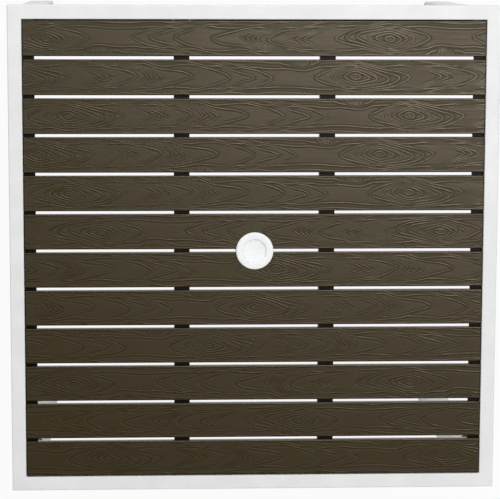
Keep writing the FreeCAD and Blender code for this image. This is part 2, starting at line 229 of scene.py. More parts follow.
def hexagon(flats):
    """The radius of a hexagon at an angle, from its width across flats."""
    sector = math.pi / 3
    return lambda angle: flats / 2 / math.cos((angle + sector / 2) % sector - sector / 2)


def chamfered(flats, reach):
    """A hexagon whose corners are turned down to a reach."""
    side = hexagon(flats)
    return lambda angle: min(side(angle), reach)


def clipped_square(size, clip):
    """The radius, at an angle, of a square with its corners cut off."""
    def radius(angle):
        across = abs(math.cos(angle))
        along = abs(math.sin(angle))
        return min(size / 2 / max(across, along), (size - clip) / (across + along))
    return radius


def thread(height, pitch, crest, depth):
    """The radius of a right-hand thread at an angle: sloping flanks between narrow flats."""
    def radius(angle):
        phase = (height / pitch - angle / math.tau) % 1
        flank = min(max(abs(2 * phase - 1) * 1.6 - 0.3, 0), 1)
        return crest - depth * (1 - flank)
    return radius


def threaded(bottom, top, pitch, crest, depth):
    """Rows of a thread from bottom to top, five to each turn."""
    step = pitch / 5
    heights = [bottom + step * number for number in range(int((top - bottom) / step) + 1)]
    return [(height, thread(height, pitch, crest, depth)) for height in heights]


class SlatSizes(bpy.types.PropertyGroup):
    rounding: FloatProperty(
        name="Edge rounding", description="Radius of a slat's long edges",
        default=2.0 * MM, unit="LENGTH",
    )
    ridge_height: FloatProperty(
        name="Ridge height", description="Height of the embossed grain lines",
        default=0.31 * MM, unit="LENGTH",
    )
    ridge_width: FloatProperty(
        name="Ridge width", description="Width of an embossed grain line",
        default=3.8 * MM, unit="LENGTH",
    )
    roller_girth: FloatProperty(
        name="Roller girth", description="Length after which the embossed pattern repeats",
        default=652 * MM, unit="LENGTH",
    )
    step_along: FloatProperty(
        name="Step along", description="Length of a face of the embossed surface",
        default=1.6 * MM, unit="LENGTH",
    )
    step_across: FloatProperty(
        name="Step across", description="Width of a face of the embossed surface",
        default=0.8 * MM, unit="LENGTH",
    )
    notch_radius: FloatProperty(
        name="Notch radius", description="Radius of the middle slats' notches for the sleeve",
        default=27 * MM, unit="LENGTH",
    )
    ground: FloatVectorProperty(
        name="Ground", description="Dark brown between the grain lines",
        default=linear("#2D2308"), **COLOUR,
    )
    weathered: FloatVectorProperty(
        name="Weathered", description="Greyer brown of the paler streaks",
        default=linear("#362D0F"), **COLOUR,
    )
    # Paler than the ground: partly rubbed wear, partly a painted sheen on the crests
    crest: FloatVectorProperty(
        name="Crest", description="Rubbed crests of the grain lines",
        default=linear("#342B11"), **COLOUR,
    )


class CoatColours(bpy.types.PropertyGroup):
    frame_coat: FloatVectorProperty(
        name="Frame", description="White powder coat of the rails and legs",
        default=linear("#E4E5E4"), **COLOUR,
    )
    # Also the colour of the black strips that paint the shade in the gaps along the front and rear
    # rails
    support_coat: FloatVectorProperty(
        name="Supports", description="Black powder coat of the battens and ledgers",
        default=linear("#090909"), **COLOUR,
    )
    fitting: FloatVectorProperty(
        name="Umbrella fitting", description="White plastic of the plug and sleeve",
        default=linear("#EFF1F0"), **COLOUR,
    )
    feet: FloatVectorProperty(
        name="Feet", description="Grey plastic of the feet",
        default=linear("#6B6C6D"), **COLOUR,
    )
    zinc: FloatVectorProperty(
        name="Fasteners", description="Zinc plating of bolts, screws and foot stems",
        default=linear("#C3C5C8"), **COLOUR,
    )


class FastenerSizes(bpy.types.PropertyGroup):
    screw_radius: FloatProperty(
        name="Screw head radius", description="Radius of the slat screws' pan heads",
        default=3.8 * MM, unit="LENGTH",
    )
    rivet_radius: FloatProperty(
        name="Rivet radius", description="Radius of the ledger rivets' heads",
        default=3.2 * MM, unit="LENGTH",
    )
    bead_radius: FloatProperty(
        name="Weld bead radius", description="Radius of the beads of a leg's weld",
        default=2.2 * MM, unit="LENGTH",
    )
    rivets: IntProperty(
        name="Rivets", description="Rivets along each ledger", default=6, min=2,
    )


class StageSettings(bpy.types.PropertyGroup):
    key_power: FloatProperty(
        name="Key light", description="Power of the overhead soft light",
        default=88, unit="POWER",
    )
    fill_power: FloatProperty(
        name="Fill light", description="Power of the soft lights at two sides, doubled at the rear",
        default=15, unit="POWER",
    )
    room: FloatProperty(
        name="Room light", description="Strength of the even light from all round",
        default=0.4, min=0,
    )
    lens: FloatProperty(
        name="Lens", description="Focal length of the camera", default=151.14, unit="CAMERA",
    )


def embossed_resin(sizes):
    """Foamed polystyrene board, coloured through and embossed with a wood grain by a hot roller."""
    # The roller leaves a matte brown ground; its engraved lines stand up, and their crests are
    # smoother.
    # The crests are painted paler, partly as rubbed wear and partly as a painted sheen, and the
    # grooves beside each line keep the dark ground as painted shade. Long streaks run with the
    # extrusion.
    material, tree, shader = new_material("embossed_polystyrene", {
        "IOR": 1.59, "Specular IOR Level": 0.5, "Specular Tint": linear("#FFF4E2"),
    })
    ridge, field, edge = [
        add(tree, "ShaderNodeAttribute", attribute_name=name).outputs["Fac"]
        for name in ("ridge", "field", "edge")
    ]
    place = add(tree, "ShaderNodeTexCoord").outputs["Object"]
    # Streaks, cloudy patches and the pores of the foamed resin, each as length, width and detail
    patterns = []
    for length, width, detail in (
        (90 * MM, 2.5 * MM, 3.0), (130 * MM, 40 * MM, 2.0), (6 * MM, 0.7 * MM, 2.0),
    ):
        drawn = add(tree, "ShaderNodeMapping", place, inputs={"Scale": (1 / length, 1 / width, 1)})
        patterns.append(add(tree, NOISE, drawn, inputs={"Scale": 1.0, "Detail": detail}))
    streaks, patches, pores = patterns
    streaky = add(tree, RANGE, streaks, 0.35, 0.68, 0.0, 0.35)
    cloudy = add(tree, RANGE, patches, 0.35, 0.65, 0.35, 0.65)
    worn = add(tree, MATH, streaky, cloudy, operation="ADD")
    # Streaks and patches show only away from the lines; the grooves beside them keep the dark
    # ground as painted shade
    streaks_and_groove_shade = add(tree, MATH, worn, field, operation="MULTIPLY")
    board = add(
        tree, "ShaderNodeMix", streaks_and_groove_shade, tuple(sizes.ground), tuple(sizes.weathered), data_type="RGBA",
    )
    # The crests are painted paler: partly rubbed wear, partly painted sheen
    colour = add(tree, "ShaderNodeMix", ridge, board, tuple(sizes.crest), data_type="RGBA")
    tree.links.new(colour.outputs[2], shader.inputs["Base Color"])
    # Worn places and crests are smoother than the ground. The long edges and sides, out of the
    # roller's reach, stay as smooth as they were extruded.
    matte = add(tree, RANGE, streaks_and_groove_shade, 0.0, 0.8, 0.62, 0.38)
    rubbed = add(tree, "ShaderNodeMix", ridge, matte, 0.14, data_type="FLOAT")
    gloss = add(tree, "ShaderNodeMix", edge, rubbed, 0.22, data_type="FLOAT")
    tree.links.new(gloss.outputs[0], shader.inputs["Roughness"])
    bump = add(
        tree, "ShaderNodeBump", inputs={"Strength": 0.35, "Distance": 0.2 * MM, "Height": pores},
    )
    tree.links.new(bump.outputs[0], shader.inputs["Normal"])
    return material


def mottled(tree, shader, colour, patch, detail, darkest, palest):
    """Colours a shader in soft patches of a size. Returns the coordinates and the patches."""
    place = add(tree, "ShaderNodeTexCoord").outputs["Object"]
    patches = add(tree, NOISE, place, inputs={"Scale": 1 / patch, "Detail": detail})
    share = add(tree, RANGE, patches, 0.3, 0.7, darkest, palest)
    skin = add(tree, VECTOR, tuple(colour)[:3], inputs={"Scale": share}, operation="SCALE")
    tree.links.new(skin.outputs[0], shader.inputs["Base Color"])
    return place, patches


def grained(tree, shader, place, width, strength):
    """Roughens a shader with a fine grain of a width."""
    grain = add(tree, NOISE, place, inputs={"Scale": 1 / width, "Detail": 1.0})
    bump = add(
        tree, "ShaderNodeBump",
        inputs={"Strength": strength, "Distance": 0.1 * MM, "Height": grain},
    )
    tree.links.new(bump.outputs[0], shader.inputs["Normal"])


def powder_coat(name, colour, roughness, specular):
    """Polyester powder, sprayed and baked: an even satin skin with a fine orange peel."""
    # Drifts of film thickness about 60 mm across give a faint mottle. The peel, really about
    # 1 mm across, is drawn 3 mm wide so that it shows.
    material, tree, shader = new_material(name, {
        "Roughness": roughness, "IOR": 1.5, "Specular IOR Level": specular,
    })
    place, _ = mottled(tree, shader, colour, 60 * MM, 4.0, 0.95, 1.03)
    grained(tree, shader, place, 3 * MM, 0.25)
    return material


def moulded_plastic(name, colour, roughness, texture):
    """Injection-moulded plastic: a spark-eroded mould leaves a fine even texture."""
    # Flow marks about 20 mm across give a faint mottle. The grain of the mould, really 0.2 mm,
    # is drawn 0.8 mm wide so that it shows.
    material, tree, shader = new_material(name, {"Roughness": roughness, "IOR": 1.49})
    place, _ = mottled(tree, shader, colour, 20 * MM, 3.0, 0.96, 1.02)
    grained(tree, shader, place, 0.8 * MM, texture)
    return material


def zinc_plate(colour):
    """Zinc-plated steel: a bright passivated metal with faint cloudy patches in its gloss."""
    # The patches are about 4 mm across, and the darker ones are duller
    material, tree, shader = new_material("zinc_plated_steel", {"Metallic": 1.0})
    _, clouds = mottled(tree, shader, colour, 4 * MM, 3.0, 0.85, 1.0)
    gloss = add(tree, RANGE, clouds, 0.3, 0.7, 0.42, 0.26)
    tree.links.new(gloss.outputs[0], shader.inputs["Roughness"])
    return material


def roller_grain():
    """Node group: the number of the growth ring at a place, in millimetres, on an embossed slat."""
    tree, given = new_tree("roller_grain", {
        "Place": "Vector", "Girth": "Float", "Shift": "Float", "Turn": "Float",
    }, output="Float")
    facing = add(tree, VECTOR, given["Place"], inputs={"Scale": given["Turn"]}, operation="SCALE")
    place = add(tree, "ShaderNodeSeparateXYZ", facing).outputs
    along = add(tree, MATH, place["X"], given["Shift"], operation="ADD")
    # The pattern is drawn round the roller, so that it closes after one girth
    radius = add(tree, MATH, given["Girth"], math.tau, operation="DIVIDE")
    angle = add(tree, MATH, along, radius, operation="DIVIDE")
    on_roller = [
        add(tree, MATH, add(tree, MATH, angle, operation=way), radius, operation="MULTIPLY")
        for way in ("COSINE", "SINE")
    ]
    skin = add(tree, COMBINE, *on_roller, place["Y"])
    # Slow drifts, about 110 mm long, bend the rings along and across the slat
    drift_length, bend_along, bend_across = 110, 40.0, 22.0
    drift = add(
        tree, NOISE, skin, inputs={"Scale": 1 / drift_length, "Detail": 1.0},
    ).outputs["Color"]
    swing = add(tree, VECTOR, drift, (0.5, 0.5, 0.5), operation="SUBTRACT")
    bend = add(tree, "ShaderNodeSeparateXYZ", swing).outputs
    run = add(tree, MATH, bend["X"], bend_along, along, operation="MULTIPLY_ADD")
    rise = add(tree, MATH, bend["Y"], bend_across, place["Y"], operation="MULTIPLY_ADD")
    # Distance from the eye, left of it as far as the plain stretch before the next pattern
    left = 0.18
    left_share, right_share = [
        add(tree, MATH, given["Girth"], share, operation="MULTIPLY") for share in (-left, 1 - left)
    ]
    near = add(tree, MATH, run, right_share, left_share, operation="WRAP")
    # Rings come to a blunt point on the middle line and flatten towards the long edges
    bluntness, slant_middle, slant_growth = 3.0, 1.9, 0.06
    blunt = add(tree, MATH, rise, rise, bluntness ** 2, operation="MULTIPLY_ADD")
    hypotenuse = add(tree, MATH, blunt, 0.5, operation="POWER")
    away = add(tree, MATH, hypotenuse, bluntness, operation="SUBTRACT")
    slant = add(tree, MATH, away, slant_growth, slant_middle, operation="MULTIPLY_ADD")
    # Between its groups a side gains hardly any rings
    plain_rings = 0.0005
    sides = []
    for way, groups in ((1.0, RINGS_RIGHT), (-1.0, RINGS_LEFT)):
        outwards = add(tree, MATH, near, way, operation="MULTIPLY")
        tip = add(tree, MATH, away, slant, outwards, operation="MULTIPLY_ADD")
        count = add(tree, MATH, tip, plain_rings, operation="MULTIPLY")
        for first, last, number in groups:
            group = add(tree, RANGE, tip, first, last, 0.0, number)
            count = add(tree, MATH, count, group, operation="ADD")
        sides.append(count)
    lens = add(tree, MATH, *sides, 1.5, operation="SMOOTH_MAX")
    # Towards the long edges the rings close up
    edge_away, edge_rings = 34.0, 2.4
    share = add(tree, MATH, away, edge_away, operation="DIVIDE")
    steep = add(tree, MATH, share, edge_rings, operation="MULTIPLY")
    flank = add(tree, MATH, share, steep, operation="MULTIPLY")
    # A burl on one edge, left of the eye: half an oval whose short lines fan out from a point
    # nearer the middle; the rings dip round it
    burl_left, burl_half_length, burl_depth = 101.0, 28, 19
    burl_rim, fan_point, fan_lines = 35.0, 6.0, 4.0
    from_burl = add(tree, MATH, run, burl_left, operation="ADD")
    half, other_half = [
        add(tree, MATH, given["Girth"], share, operation="MULTIPLY") for share in (0.5, -0.5)
    ]
    beside = add(tree, MATH, from_burl, half, other_half, operation="WRAP")
    above = add(tree, MATH, rise, -fan_point, operation="ADD")
    spread = add(tree, MATH, beside, above, operation="ARCTAN2")
    fan = add(tree, MATH, spread, fan_lines, 1.0, operation="MULTIPLY_ADD")
    from_rim = add(tree, MATH, rise, -burl_rim, operation="ADD")
    inwards = add(tree, COMBINE, beside, from_rim, 0.0)
    oval = add(
        tree, VECTOR, inwards, (1 / burl_half_length, 1 / burl_depth, 0), operation="MULTIPLY",
    )
    reach = add(tree, VECTOR, oval, operation="LENGTH").outputs["Value"]
    window, dip = [
        add(tree, RANGE, reach, first, last, strength, 0.0, interpolation_type="SMOOTHSTEP")
        for first, last, strength in ((0.88, 1.04, 1.0), (0.9, 1.6, 0.9))
    ]
    dipped = add(tree, MATH, flank, dip, operation="ADD")
    edgewise = add(tree, "ShaderNodeMix", window, dipped, fan, data_type="FLOAT")
    burled = add(tree, MATH, lens, edgewise, operation="ADD")
    # Long, lazy wander of the lines, about 90 mm long and a third as wide
    wander_length, wander_rings, centring = 90, 0.6, -0.42
    stretched = add(tree, VECTOR, skin, (1, 1, 3), operation="MULTIPLY")
    wander = add(tree, NOISE, stretched, inputs={"Scale": 1 / wander_length, "Detail": 1.0})
    centred = add(tree, MATH, burled, centring, operation="ADD")
    total = add(tree, MATH, wander, wander_rings, centred, operation="MULTIPLY_ADD")
    add(tree, "NodeGroupOutput", total)
    return tree


def slat_tree(grain):
    """Node tree: a rounded board, notched if asked, with the roller's grain raised on its top."""
    tree, given = new_tree("embossed_slat", {
        "Length": "Float", "Width": "Float", "Thickness": "Float", "Centre": "Float",
        "Top": "Float", "Rounding": "Float", "Step Along": "Float", "Step Across": "Float",
        "Notched": "Bool", "Notch Radius": "Float", "Roller Girth": "Float",
        "Roller Shift": "Float", "Turn": "Float", "Ridge Height": "Float", "Ridge Width": "Float",
        "Finish": "Material",
    })
    half_height = add(tree, MATH, given["Thickness"], 0.5, operation="MULTIPLY")
    section = add(
        tree, "GeometryNodeCurvePrimitiveQuadrilateral", given["Width"], given["Thickness"],
    )
    rounded = add(
        tree, "GeometryNodeFilletCurve", section, inputs={"Count": 4, "Radius": given["Rounding"]},
        mode="POLY",
    )
    # Only the upper side is cut fine enough to carry the grain
    place = add(tree, "GeometryNodeInputPosition")
    index = add(tree, "GeometryNodeOffsetPointInCurve", inputs={"Offset": 1}).outputs["Point Index"]
    following = add(
        tree, "GeometryNodeFieldAtIndex", inputs={"Index": index, "Value": place},
        data_type="FLOAT_VECTOR", domain="POINT",
    )
    stretch = add(tree, VECTOR, place, following, operation="DISTANCE").outputs["Value"]
    pieces = add(tree, MATH, stretch, given["Step Across"], operation="DIVIDE")
    section_y = add(tree, "ShaderNodeSeparateXYZ", place).outputs["Y"]
    nearly_top = add(tree, MATH, half_height, -1.0, 1e-5, operation="MULTIPLY_ADD")
    upper = add(tree, MATH, section_y, nearly_top, operation="LESS_THAN")
    cuts = add(tree, MATH, pieces, upper, operation="MULTIPLY")
    profile = add(tree, "GeometryNodeSubdivideCurve", rounded, cuts)
    ends = []
    for share in (-0.5, 0.5):
        reach = add(tree, MATH, given["Length"], share, operation="MULTIPLY")
        ends.append(add(tree, COMBINE, reach))
    axis = add(tree, "GeometryNodeCurvePrimitiveLine", *ends)
    count = add(tree, MATH, given["Length"], given["Step Along"], operation="DIVIDE")
    path = add(tree, "GeometryNodeResampleCurve", axis, inputs={"Count": count})
    sweep = add(
        tree, "GeometryNodeCurveToMesh", path, inputs={"Profile Curve": profile, "Fill Caps": True},
    )
    middle = add(tree, MATH, given["Top"], half_height, operation="SUBTRACT")
    seat = add(tree, COMBINE, 0.0, given["Centre"], middle)
    board = add(tree, "GeometryNodeTransform", sweep, inputs={"Translation": seat})
    # The drill passes right through the slats
    drill_sides, drill_length, drill_height = 96, 100 * MM, 720 * MM
    drill = add(
        tree, "GeometryNodeMeshCylinder", drill_sides, 1, 1,
        inputs={"Radius": given["Notch Radius"], "Depth": drill_length},
    ).outputs["Mesh"]
    raised = add(tree, "GeometryNodeTransform", drill, inputs={"Translation": (0, 0, drill_height)})
    cut = add(tree, "GeometryNodeMeshBoolean", board, raised, operation="DIFFERENCE")
    blank = add(tree, "GeometryNodeSwitch", given["Notched"], board, cut, input_type="GEOMETRY")

    # Ring number at each point and half a millimetre further along and across
    origin = add(tree, COMBINE, 0.0, given["Centre"], 0.0)
    local = add(tree, VECTOR, place, origin, operation="SUBTRACT")
    spot = add(tree, VECTOR, local, inputs={"Scale": 1 / MM}, operation="SCALE")
    girth = add(tree, MATH, given["Roller Girth"], 1 / MM, operation="MULTIPLY")
    probe = 0.5
    rings = []
    for offset in ((0, 0, 0), (probe, 0, 0), (0, probe, 0)):
        moved = add(tree, VECTOR, spot, offset, operation="ADD")
        rings.append(add(
            tree, "GeometryNodeGroup", moved, girth, given["Roller Shift"], given["Turn"],
            node_tree=grain,
        ))
    slopes = []
    for further in rings[1:]:
        change = add(tree, MATH, further, rings[0], operation="SUBTRACT")
        slopes.append(add(tree, MATH, change, 0.5, -0.5, operation="WRAP"))
    slope = add(tree, COMBINE, *slopes, 0.0)
    rings_in_probe = add(tree, VECTOR, slope, operation="LENGTH").outputs["Value"]
    steepness = add(tree, MATH, rings_in_probe, probe, operation="DIVIDE")
    # Each ring is one line. Its distance in millimetres comes from the rings in a millimetre.
    fewest, most = 0.022, 0.6
    crowded = add(tree, "ShaderNodeClamp", steepness, fewest, most)
    apart = add(tree, MATH, rings[0], operation="FRACT")
    folded = add(tree, MATH, apart, -0.5, operation="ADD")
    size = add(tree, MATH, folded, operation="ABSOLUTE")
    distance = add(tree, MATH, size, crowded, operation="DIVIDE")
    half_width = add(tree, MATH, given["Ridge Width"], 0.5 / MM, operation="MULTIPLY")
    inner = add(tree, MATH, half_width, 0.25, operation="MULTIPLY")
    crest = add(tree, RANGE, distance, inner, half_width, 1.0, 0.0, interpolation_type="SMOOTHSTEP")
    # Where rings crowd, the roller's engraving runs together and its lines fade
    crowding = add(tree, RANGE, steepness, 0.25, 0.5, 1.0, 0.3)
    clear = add(tree, MATH, crest, crowding, operation="MULTIPLY")
    # Patches of wear, about 45 mm long and half as wide
    wide = add(tree, VECTOR, place, (1, 2, 0), operation="MULTIPLY")
    wear = add(tree, NOISE, wide, inputs={"Scale": 1 / (45 * MM), "Detail": 2.0})
    kept = add(tree, RANGE, wear, 0.38, 0.6, 0.55, 1.0)
    strong = add(tree, MATH, clear, kept, operation="MULTIPLY")
    # The grain stops short of the rounded edges and is only on the upper side
    parts = add(tree, "ShaderNodeSeparateXYZ", local).outputs
    half_board = add(tree, MATH, given["Width"], 0.5, operation="MULTIPLY")
    sideways = add(tree, MATH, parts["Y"], operation="ABSOLUTE")
    from_edge = add(tree, MATH, half_board, sideways, operation="SUBTRACT")
    fade = add(tree, RANGE, from_edge, 1.5 * MM, 4 * MM, 0.0, 1.0)
    almost = add(tree, MATH, given["Top"], 0.2 * MM, operation="SUBTRACT")
    on_top = add(tree, MATH, parts["Z"], almost, operation="GREATER_THAN")
    mask = add(tree, MATH, fade, on_top, operation="MULTIPLY")
    ridge = add(tree, MATH, strong, mask, operation="MULTIPLY")
    # A groove runs on either side of a line; the board between lies half as deep
    beyond = add(tree, MATH, half_width, 1.4, operation="MULTIPLY")
    clear_of = add(tree, MATH, half_width, 3.0, operation="MULTIPLY")
    field = add(tree, RANGE, distance, beyond, clear_of, 0.0, 1.0, interpolation_type="SMOOTHSTEP")
    level = add(tree, MATH, field, 0.5, strong, operation="MULTIPLY_ADD")
    depth = add(tree, MATH, level, -1.0, operation="ADD")
    pressed = add(tree, MATH, depth, mask, operation="MULTIPLY")
    sunk = add(tree, MATH, pressed, given["Ridge Height"], operation="MULTIPLY")
    # The field also keeps the paler streaks off the grooves, which show the dark ground as painted
    # shade
    upper_field = add(tree, MATH, field, on_top, operation="MULTIPLY")
    plain = add(tree, MATH, 1.0, fade, operation="SUBTRACT")
    marked = blank
    for name, value in (("ridge", ridge), ("field", upper_field), ("edge", plain)):
        marked = add(
            tree, "GeometryNodeStoreNamedAttribute", marked, inputs={"Name": name, "Value": value},
            data_type="FLOAT", domain="POINT",
        )
    lift = add(tree, COMBINE, 0.0, 0.0, sunk)
    embossed = add(tree, "GeometryNodeSetPosition", marked, inputs={"Offset": lift})
    end_tree(tree, embossed, given["Finish"])
    return tree


def fastener_rows():
    """Node tree: a fastener repeated along a row, and mirrored to the table's other sides."""
    tree, given = new_tree("fastener_rows", {
        "Fastener": "Geometry", "Start": "Vector", "Step": "Vector", "Count": "Int",
        "Finish": "Material",
    })
    spots = add(
        tree, "GeometryNodeMeshLine", given["Count"],
        inputs={"Start Location": given["Start"], "Offset": given["Step"]},
    )
    for flip in ((-1, 1, 1), (1, -1, 1)):
        mirrored = add(tree, "GeometryNodeTransform", spots, inputs={"Scale": flip})
        spots = add(tree, "GeometryNodeJoinGeometry", [spots, mirrored])
    merged = add(tree, "GeometryNodeMergeByDistance", spots)
    copies = add(
        tree, "GeometryNodeInstanceOnPoints", merged, inputs={"Instance": given["Fastener"]},
    )
    end_tree(tree, copies, given["Finish"])
    return tree


class PATIO_OT_coats(bpy.types.Operator):
    """Coats the rails, legs, plates and supports"""
    bl_idname = "patio.coats"
    bl_label = "Powder coats"

    def execute(self, context):
        colours = context.scene.patio_colours
        white = powder_coat("white_powder_coat", colours.frame_coat, 0.6, 0.5)
        # The black powder lies smoother but mirrors less
        black = powder_coat("black_powder_coat", colours.support_coat, 0.42, 0.18)
        coat(white, "_rail", "_leg", "_gusset", "_leg_flange")
        coat(black, "_batten", "_ledger", "batten_brackets")
        return {"FINISHED"}


class PATIO_OT_slats(bpy.types.Operator):
    """Makes the embossed slats"""
    bl_idname = "patio.slats"
    bl_label = "Embossed slats"

    def execute(self, context):
        sizes = context.scene.patio_slats
        resin = embossed_resin(sizes)
        tree = slat_tree(roller_grain())
        for node, (eye, turn) in zip(SLATS, EYES):
            low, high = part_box(node)
            centre = (low.y + high.y) / 2
            mesh = grown(tree, {
                "Length": high.x - low.x, "Width": high.y - low.y, "Thickness": high.z - low.z,
                "Centre": centre, "Top": high.z, "Rounding": sizes.rounding,
                "Step Along": sizes.step_along, "Step Across": sizes.step_across,
                "Notched": abs(centre) < high.y - low.y, "Notch Radius": sizes.notch_radius,
                "Roller Girth": sizes.roller_girth, "Roller Shift": float(-eye * turn),
                "Turn": float(turn), "Ridge Height": sizes.ridge_height,
                "Ridge Width": sizes.ridge_width, "Finish": resin,
            })
            mesh.shade_smooth()
            mesh.set_sharp_from_angle(angle=SLAT_CREASE)
            piece(f"embossed_{node}", mesh, resin, "table", [node])
        return {"FINISHED"}


class PATIO_OT_gap_shade_strips(bpy.types.Operator):
    """Makes black strips in the gap along the front and rear rails, a painted shade in that gap"""
    bl_idname = "patio.edge_strips"
    bl_label = "Edge strips"

    def execute(self, context):
        colours = context.scene.patio_colours
        # The strips are painted shade: black strips in the supports' colour, where the gap beside
        # the slats lies in shade
        gap_shade = moulded_plastic("gap_shade_black", colours.support_coat, 0.7, 0.3)
        rail_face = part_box("rear_rail")[0].y
        below_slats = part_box("slat_12")[0].z
        inner_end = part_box("right_ledger")[0].x
        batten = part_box("right_batten")
        # Section of a strip, as distances from the rail's face and below the slats, in millimetres
        section = ((0, 10), (0, 0.3), (3.2, 0.3), (4.4, 1.2), (4.4, 8.8), (3.2, 10))
        clearance = 1 * MM
        spans = (
            (-batten[0].x + clearance, batten[0].x - clearance),
            (batten[1].x + clearance, inner_end - clearance),
            (-inner_end + clearance, -batten[1].x - clearance),
        )
        outline = [(rail_face - away * MM, below_slats - drop * MM) for away, drop in section]
        shape = bmesh.new()
        for side in (-1, 1):
            for span in spans:
                first, last = [
                    [shape.verts.new((x, side * y, z)) for y, z in outline] for x in span
                ]
                shape.faces.new(first)
                shape.faces.new(last)
                for here in range(len(section)):
                    shape.faces.new((first[here - 1], first[here], last[here], last[here - 1]))
        piece("edge_strips", finished("edge_strips", shape), gap_shade, "table")
        return {"FINISHED"}


class PATIO_OT_umbrella_fitting(bpy.types.Operator):
    """Makes the plug and the sleeve of the umbrella hole"""
    bl_idname = "patio.umbrella_fitting"
    bl_label = "Umbrella fitting"

    def execute(self, context):
        colours = context.scene.patio_colours
        plastic = moulded_plastic("white_moulded_plastic", colours.fitting, 0.5, 0.08)
        coat(plastic, "sleeve_nut")
        angles = full_turn(96)
        low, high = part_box("umbrella_plug")
        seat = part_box("umbrella_sleeve")[1].z
        rim = high.x
        rim_foot, rim_height, rim_width, rim_steps = 0.6 * MM, 2.8 * MM, 3.6 * MM, 8
        rounding = [
            (seat + rim_foot + rim_height * math.sin(turn), rim - rim_width * (1 - math.cos(turn)))
            for turn in (math.pi / 2 * step / rim_steps for step in range(rim_steps + 1))
        ]
        # A dish 5 mm deep, a floor 2 mm thick and a hollow skirt below it
        dish = high.z - 5 * MM
        sole = dish - 2 * MM
        plug = turned("umbrella_plug_cap", [
            (sole, 0), (sole, 20.9 * MM), (sole - 0.6 * MM, 21.5 * MM), (low.z, 22.6 * MM),
            (low.z, 23.4 * MM), (low.z + 0.8 * MM, 24.2 * MM), (seat, 24.4 * MM),
            (seat, rim - 0.5 * MM), *rounding,
            (high.z, 24.2 * MM), (high.z - 0.25 * MM, 23.2 * MM), (high.z - 0.9 * MM, 22.5 * MM),
            (dish + 1.2 * MM, 21.6 * MM), (dish + 0.3 * MM, 21.1 * MM), (dish, 20.2 * MM),
            (dish, 0),
        ], angles)
        piece(
            "umbrella_plug_cap", plug, plastic, "umbrella_plug",
            ["umbrella_plug"],
        )
        low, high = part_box("umbrella_sleeve")
        slat_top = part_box("slat_06")[1].z
        # Radii of the bore, of the plug's seat above it, of the threaded barrel and of the lip
        bore, seat_bore, barrel, lip = 23.0 * MM, 24.7 * MM, 26.5 * MM, high.x
        seat_floor = high.z - 16 * MM
        sleeve = turned("umbrella_sleeve_tube", [
            (low.z, bore + 0.4 * MM), (low.z, barrel - 0.6 * MM),
            *threaded(low.z + 0.6 * MM, slat_top - 16 * MM, 3 * MM, barrel, 0.7 * MM),
            (slat_top - 15 * MM, barrel), (slat_top, barrel), (slat_top, lip - 0.3 * MM),
            (slat_top + 0.6 * MM, lip), (high.z - 0.5 * MM, lip - 0.2 * MM),
            (high.z, lip - 0.9 * MM), (high.z, seat_bore + 0.6 * MM),
            (high.z - 0.6 * MM, seat_bore), (seat_floor, seat_bore), (seat_floor, bore),
            (low.z + 0.4 * MM, bore),
        ], angles, closed=True)
        piece(
            "umbrella_sleeve_tube", sleeve, plastic, "table",
            ["umbrella_sleeve"],
        )
        return {"FINISHED"}


def foot_pad(name, size):
    """A square pad with clipped corners, a bevelled top and a socket for the stem."""
    clip = 4 * MM
    top = 9 * MM
    socket, socket_floor = 4.2 * MM, 3 * MM
    bend = math.atan2(size / 2 - clip, size / 2)
    corners = [
        quarter * math.pi / 2 + turn
        for quarter in range(4) for turn in (bend, math.pi / 2 - bend)
    ]
    # Heights of the block and how far its sides are drawn in there, in millimetres
    block = [
        (height * MM, clipped_square(size - 2 * inset * MM, clip))
        for height, inset in (
            (0, 1.2), (0.3, 0.4), (1.0, 0), (3.6, 0), (4.2, 0.2), (4.6, 0.6), (8.4, 4.4),
            (8.8, 4.9), (9, 5.6),
        )
    ]
    return turned(name, [
        (0, 0), *block, (top, socket + 0.8 * MM), (top - 0.4 * MM, socket), (socket_floor, socket),
        (socket_floor, 0),
    ], sorted(set(full_turn(48)) | set(corners)))


def foot_stem(name, bottom, top):
    """An M8 stem: a plain end, a hexagon collar for a spanner and a thread."""
    rod = 4 * MM
    flats = 13 * MM
    # The collar's upper side lies 0.2 mm low, clear of the insert at the end of the travel
    collar_low, collar_high = 9.5 * MM, 14.3 * MM
    face, shoulder = chamfered(flats, 6.3 * MM), chamfered(flats, 7.3 * MM)
    return turned(name, [
        (bottom, 0), (bottom, rod - 0.5 * MM), (bottom + 0.5 * MM, rod), (collar_low, rod),
        (collar_low, face), (collar_low + 0.6 * MM, shoulder),
        (collar_low + 0.8 * MM, hexagon(flats)), (collar_high - 0.8 * MM, hexagon(flats)),
        (collar_high - 0.6 * MM, shoulder), (collar_high, face), (collar_high, rod - 0.7 * MM),
        *threaded(collar_high + 0.3 * MM, top - 0.8 * MM, 1.25 * MM, rod - 0.12 * MM, 0.6 * MM),
        (top, rod - 0.9 * MM), (top, 0),
    ], full_turn(36))


class PATIO_OT_levelling_feet(bpy.types.Operator):
    """Makes the foot pads and the threaded stems"""
    bl_idname = "patio.levelling_feet"
    bl_label = "Levelling feet"

    def execute(self, context):
        colours = context.scene.patio_colours
        nylon = moulded_plastic("grey_moulded_nylon", colours.feet, 0.55, 0.25)
        zinc = zinc_plate(colours.zinc)
        coat(nylon, "_foot_insert")
        for corner in CORNERS:
            low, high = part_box(f"{corner}_foot_pad")
            place = Matrix.Translation(((low.x + high.x) / 2, (low.y + high.y) / 2, 0))
            pad = foot_pad(f"{corner}_pad", high.x - low.x)
            pad.transform(place)
            piece(
                f"{corner}_pad", pad, nylon, f"{corner}_foot",
                [f"{corner}_foot_pad"],
            )
            low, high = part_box(f"{corner}_foot_stem")
            stem = foot_stem(f"{corner}_stem", low.z, high.z)
            stem.transform(place)
            piece(
                f"{corner}_stem", stem, zinc, f"{corner}_stem",
                [f"{corner}_foot_stem"],
            )
        return {"FINISHED"}


